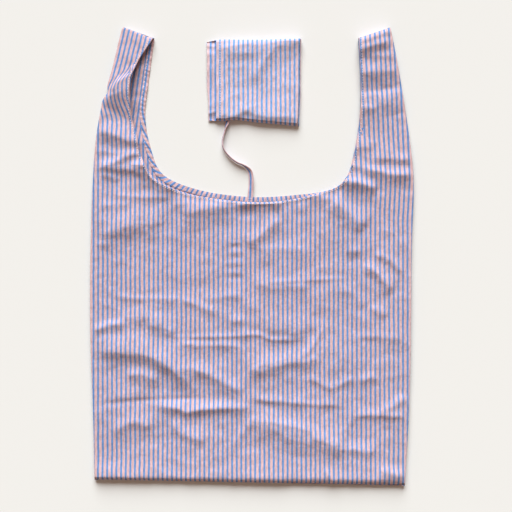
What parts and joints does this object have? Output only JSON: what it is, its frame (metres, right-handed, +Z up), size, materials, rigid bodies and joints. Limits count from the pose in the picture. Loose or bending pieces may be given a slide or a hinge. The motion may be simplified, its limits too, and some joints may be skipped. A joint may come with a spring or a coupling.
{
  "type": "foldable tote bag",
  "caption": "Flat foldable cotton tote bag with loop handles, folded-in side gussets and a small pouch on a short tape to pack it into.",
  "frame": {"origin": "on the surface the bag lies on, under the middle of the flat bag", "axes": "+Y along the bag from its bottom seam to its handles, +X to the right seen from above with the handles away, +Z up through the flat bag"},
  "size_m": [0.3858, 0.5464, 0.0078],
  "materials": {
    "striped_cotton": "plain-woven cotton shirting with even pink and blue stripes, soft and creased",
    "hemmed_cotton": "the same striped cotton turned twice and stitched",
    "gusset_cotton": "the same striped cotton, folded inside the bag",
    "woven_tape": "narrow folded strip of the striped cotton, pressed flat and stitched along its edge",
    "sewing_thread": "spun sewing thread"
  },
  "bodies": {
    "bag": {"back_panel_upper": "striped_cotton", "front_panel_upper": "striped_cotton", "left_gusset_upper": "gusset_cotton", "right_gusset_upper": "gusset_cotton", "back_neck_hem": "hemmed_cotton", "front_neck_hem": "hemmed_cotton", "tape_foot": "woven_tape", "tape_tack_stitch": "sewing_thread"},
    "lower_bag": {"back_panel_lower": "striped_cotton", "front_panel_lower": "striped_cotton", "left_gusset_lower": "gusset_cotton", "right_gusset_lower": "gusset_cotton", "bottom_seam": "striped_cotton"},
    "left_handle": {"left_back_strap": "striped_cotton", "left_front_strap": "striped_cotton", "left_back_strap_hem": "hemmed_cotton", "left_front_strap_hem": "hemmed_cotton", "left_handle_seam": "striped_cotton"},
    "right_handle": {"right_back_strap": "striped_cotton", "right_front_strap": "striped_cotton", "right_back_strap_hem": "hemmed_cotton", "right_front_strap_hem": "hemmed_cotton", "right_handle_seam": "striped_cotton"},
    "pouch": {"pouch_back": "striped_cotton", "pouch_back_mouth_hem": "hemmed_cotton", "pouch_top_seam": "striped_cotton", "pouch_bottom_seam": "striped_cotton", "pouch_side_seam": "striped_cotton", "pouch_tape": "woven_tape"},
    "pouch_front_layer": {"pouch_front": "striped_cotton", "pouch_front_mouth_hem": "hemmed_cotton"}
  },
  "joints": [
    {"name": "lower_fold", "type": "hinge", "parent": "bag", "child": "lower_bag", "pos_m": [0, -0.129, 0.0152], "axis": [-1, 0, 0], "range_deg": [0, 180]},
    {"name": "left_handle_fold", "type": "hinge", "parent": "bag", "child": "left_handle", "pos_m": [-0.155, 0.168, 0.0098], "axis": [1, 0, 0], "range_deg": [0, 180]},
    {"name": "right_handle_fold", "type": "hinge", "parent": "bag", "child": "right_handle", "pos_m": [0.155, 0.168, 0.0098], "axis": [1, 0, 0], "range_deg": [0, 180]},
    {"name": "pouch_flip", "type": "hinge", "parent": "bag", "child": "pouch", "pos_m": [0, 0.071, 0.0098], "axis": [1, 0, 0], "range_deg": [0, 180]},
    {"name": "pouch_press", "type": "slide", "parent": "pouch", "child": "pouch_front_layer", "axis": [0, 0, -1], "range_m": [0, 0.0035]}
  ]
}
